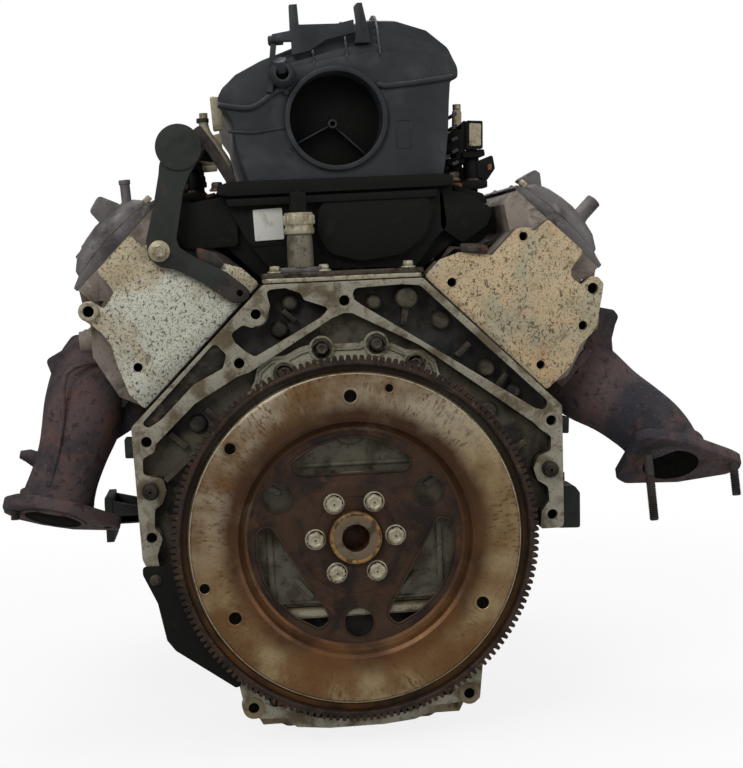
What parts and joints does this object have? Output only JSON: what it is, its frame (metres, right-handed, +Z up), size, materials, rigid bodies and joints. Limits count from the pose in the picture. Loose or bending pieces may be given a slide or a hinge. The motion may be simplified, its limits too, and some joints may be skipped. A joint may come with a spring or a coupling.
{
  "type": "complete v-eight piston engine",
  "caption": "Complete V-layout piston engine seen from its flexplate end, with heads, plastic intake, exhaust manifolds, oil pan, crank train and valve train inside.",
  "frame": {"origin": "on the crank axis in the machined rear face of the block, inside the crank's pilot bore", "axes": "+Y forward along the crank away from the flexplate, +Z up, +X to the right of someone who faces the flexplate"},
  "size_m": [0.77, 0.645, 0.729],
  "materials": {
    "block_iron": "rough cast iron with grey paint worn off and oil film",
    "cap_iron": "machined cast iron",
    "head_alloy": "sand cast aluminium, stained",
    "cover_alloy": "dull die cast aluminium",
    "piston_alloy": "turned aluminium",
    "crank_steel": "ground steel with a golden tint",
    "bright_steel": "plated steel bolts",
    "dark_steel": "dark steel with oil film",
    "flexplate_steel": "stamped steel with brown oil stain",
    "gear_steel": "hardened steel, brown",
    "black_plastic": "charcoal moulded plastic",
    "rail_steel": "dull painted steel",
    "bracket_black": "black painted steel",
    "exhaust_iron": "heat stained cast iron",
    "seal_rubber": "black rubber",
    "gasket_steel": "layered steel"
  },
  "bodies": {
    "block": {"engine_block": "block_iron", "main_bearing_caps": "cap_iron", "bellhousing_dowels": "bright_steel", "rear_cover": "cover_alloy", "rear_main_seal": "seal_rubber", "rear_cover_bolts": "bright_steel", "timing_chain": "dark_steel", "oil_pan": "cover_alloy", "dust_cover": "bracket_black", "oil_pump": "cover_alloy", "front_cover": "cover_alloy", "water_pump": "head_alloy", "intake_upper_shell": "black_plastic", "intake_lower_shell": "black_plastic", "fuel_rails": "rail_steel", "fuel_injectors": "black_plastic", "throttle_body": "cover_alloy", "valley_cover": "cover_alloy", "valley_cover_bolts": "bright_steel", "oil_pressure_sensor": "bright_steel", "exhaust_studs": "dark_steel", "spark_plugs": "bright_steel", "lift_bracket": "bracket_black", "lift_bracket_bolts": "bright_steel", "valve_cover_bolts": "bright_steel", "engine_mount_brackets": "bracket_black", "cylinder_head_left": "head_alloy", "cylinder_head_right": "head_alloy", "head_gasket_left": "gasket_steel", "head_gasket_right": "gasket_steel", "valve_cover_left": "cover_alloy", "valve_cover_right": "cover_alloy", "exhaust_manifold_left": "exhaust_iron", "exhaust_manifold_right": "exhaust_iron", "lifters": "dark_steel", "pushrods": "bright_steel", "rocker_arms": "bright_steel", "valves": "bright_steel", "valve_springs": "dark_steel", "connecting_rods": "cap_iron"},
    "crank": {"crankshaft": "crank_steel", "crank_sprocket": "dark_steel", "flexplate": "flexplate_steel", "ring_gear": "gear_steel", "flexplate_bolts": "bright_steel", "harmonic_balancer": "dark_steel", "balancer_bolt": "dark_steel"},
    "cam": {"camshaft": "dark_steel", "cam_sprocket": "dark_steel"},
    "throttle": {"throttle_plate": "bright_steel"},
    "pump_pulley": {"water_pump_pulley": "bracket_black"},
    "piston_1_body": {"piston_1": "piston_alloy"},
    "piston_2_body": {"piston_2": "piston_alloy"},
    "piston_3_body": {"piston_3": "piston_alloy"},
    "piston_4_body": {"piston_4": "piston_alloy"},
    "piston_5_body": {"piston_5": "piston_alloy"},
    "piston_6_body": {"piston_6": "piston_alloy"},
    "piston_7_body": {"piston_7": "piston_alloy"},
    "piston_8_body": {"piston_8": "piston_alloy"}
  },
  "joints": [
    {"name": "crank_spin", "type": "hinge", "parent": "block", "child": "crank", "pos_m": [0, 0, 0], "axis": [0, 1, 0], "continuous": true, "deforming": ["connecting_rods"]},
    {"name": "cam_spin", "type": "hinge", "parent": "block", "child": "cam", "pos_m": [0, 0, 0.1248], "axis": [0, 1, 0], "continuous": true},
    {"name": "throttle_turn", "type": "hinge", "parent": "block", "child": "throttle", "pos_m": [0, 0.522, 0.412], "axis": [1, 0, 0], "range_deg": [0, 80], "stiffness_Nm_per_rad": 0.1},
    {"name": "pump_spin", "type": "hinge", "parent": "block", "child": "pump_pulley", "pos_m": [0, 0.611, 0.165], "axis": [0, 1, 0], "continuous": true},
    {"name": "piston_1_slide", "type": "slide", "parent": "block", "child": "piston_1_body", "axis": [-0.7071, 0, 0.7071], "range_m": [-0.092, 0]},
    {"name": "piston_2_slide", "type": "slide", "parent": "block", "child": "piston_2_body", "axis": [0.7071, 0, 0.7071], "range_m": [-0.039, 0.053]},
    {"name": "piston_3_slide", "type": "slide", "parent": "block", "child": "piston_3_body", "axis": [-0.7071, 0, 0.7071], "range_m": [-0.039, 0.053]},
    {"name": "piston_4_slide", "type": "slide", "parent": "block", "child": "piston_4_body", "axis": [0.7071, 0, 0.7071], "range_m": [0, 0.092]},
    {"name": "piston_5_slide", "type": "slide", "parent": "block", "child": "piston_5_body", "axis": [-0.7071, 0, 0.7071], "range_m": [-0.039, 0.053]},
    {"name": "piston_6_slide", "type": "slide", "parent": "block", "child": "piston_6_body", "axis": [0.7071, 0, 0.7071], "range_m": [-0.092, 0]},
    {"name": "piston_7_slide", "type": "slide", "parent": "block", "child": "piston_7_body", "axis": [-0.7071, 0, 0.7071], "range_m": [0, 0.092]},
    {"name": "piston_8_slide", "type": "slide", "parent": "block", "child": "piston_8_body", "axis": [0.7071, 0, 0.7071], "range_m": [-0.039, 0.053]}
  ],
  "couplings": [
    {"joint": "cam_spin", "follows": "crank_spin", "ratio": 0.5},
    {"joint": "piston_6_slide", "follows": "piston_1_slide", "ratio": 1},
    {"joint": "piston_5_slide", "follows": "piston_8_slide", "ratio": 1},
    {"joint": "piston_4_slide", "follows": "piston_7_slide", "ratio": 1},
    {"joint": "piston_3_slide", "follows": "piston_2_slide", "ratio": 1}
  ]
}
